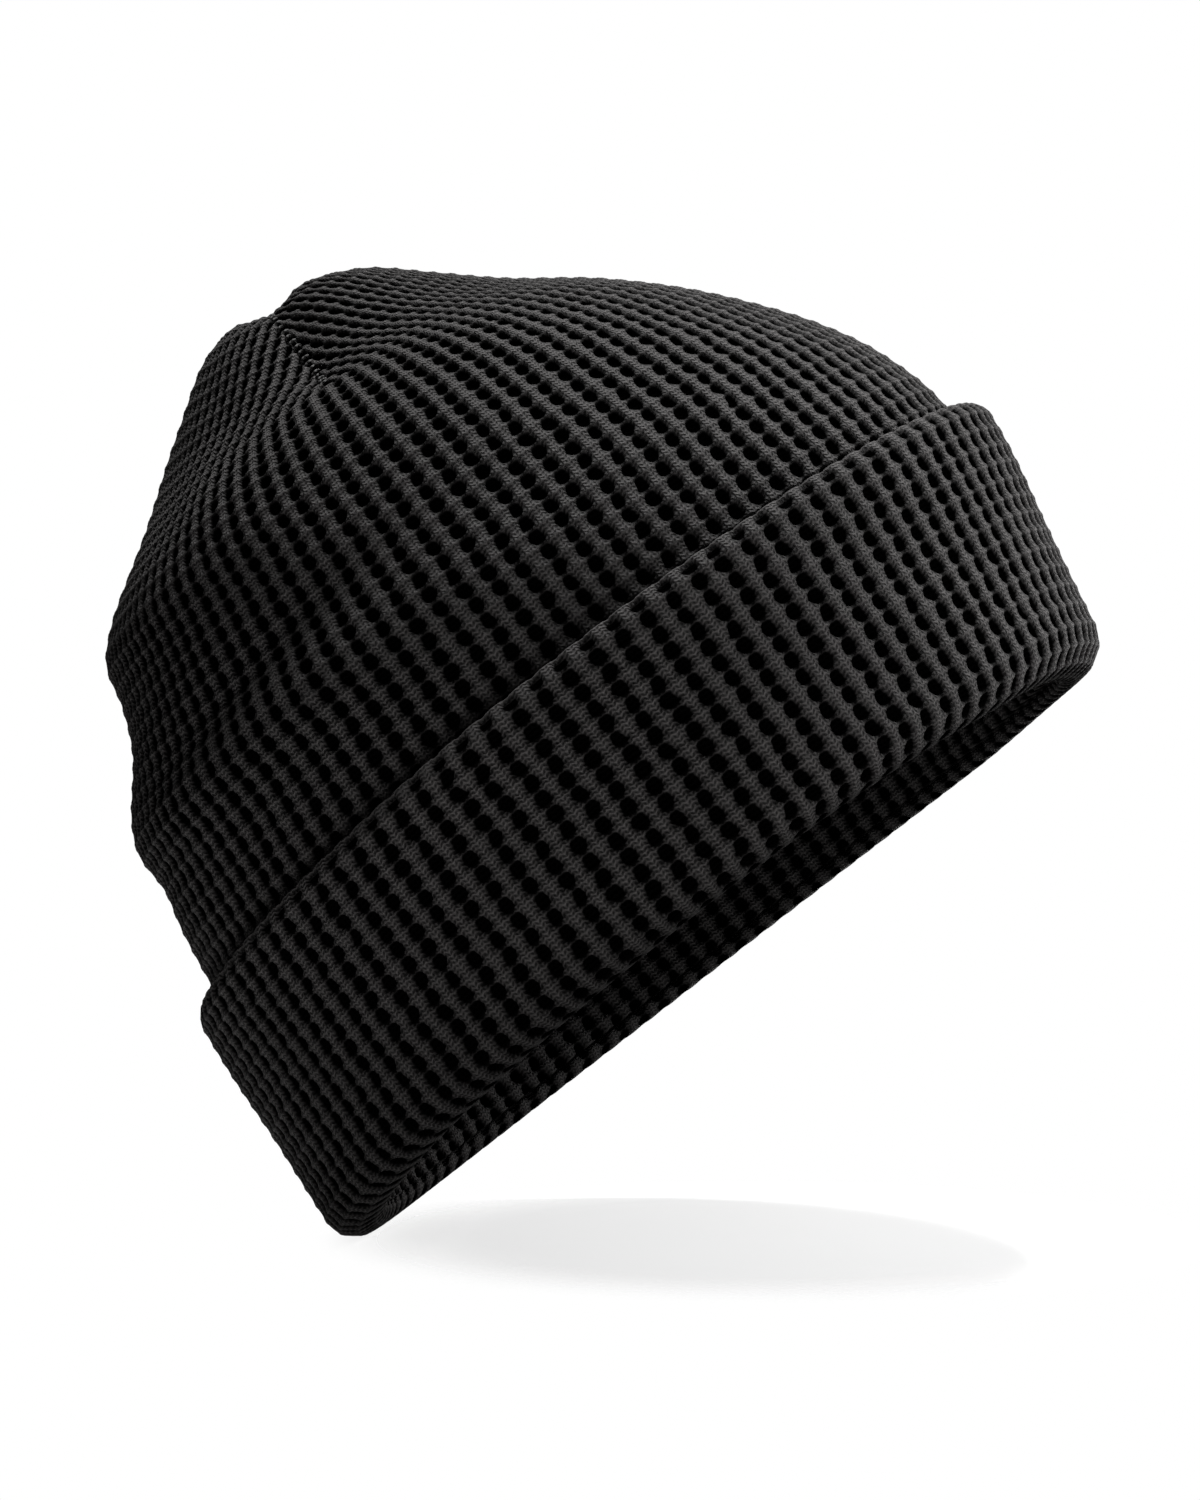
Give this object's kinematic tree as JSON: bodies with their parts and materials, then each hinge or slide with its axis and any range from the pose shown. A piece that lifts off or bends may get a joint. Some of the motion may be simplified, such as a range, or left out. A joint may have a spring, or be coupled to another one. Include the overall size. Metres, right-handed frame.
{
  "type": "knit beanie",
  "caption": "Double-layer waffle-knit beanie with a deep turned-up cuff and a crown closed by four darts.",
  "frame": {"origin": "middle of the rim's footprint, on the plane that the rim stands on", "axes": "+Z from the rim to the crown, -Y towards the forehead side, -X towards the wearer's right"},
  "size_m": [0.1832, 0.2108, 0.166],
  "materials": {
    "waffle_knit": "matt black waffle knit",
    "seam_thread": "black linking thread"
  },
  "bodies": {
    "root": {"crown_shell": "waffle_knit", "crown_lining": "waffle_knit", "cuff_outer_layer": "waffle_knit", "cuff_inner_layer": "waffle_knit", "shell_dart_seam_front": "seam_thread", "shell_dart_seam_left": "seam_thread", "shell_dart_seam_back": "seam_thread", "shell_dart_seam_right": "seam_thread", "lining_dart_seam_front": "seam_thread", "lining_dart_seam_left": "seam_thread", "lining_dart_seam_back": "seam_thread", "lining_dart_seam_right": "seam_thread", "crown_tack": "seam_thread"}
  },
  "joints": []
}
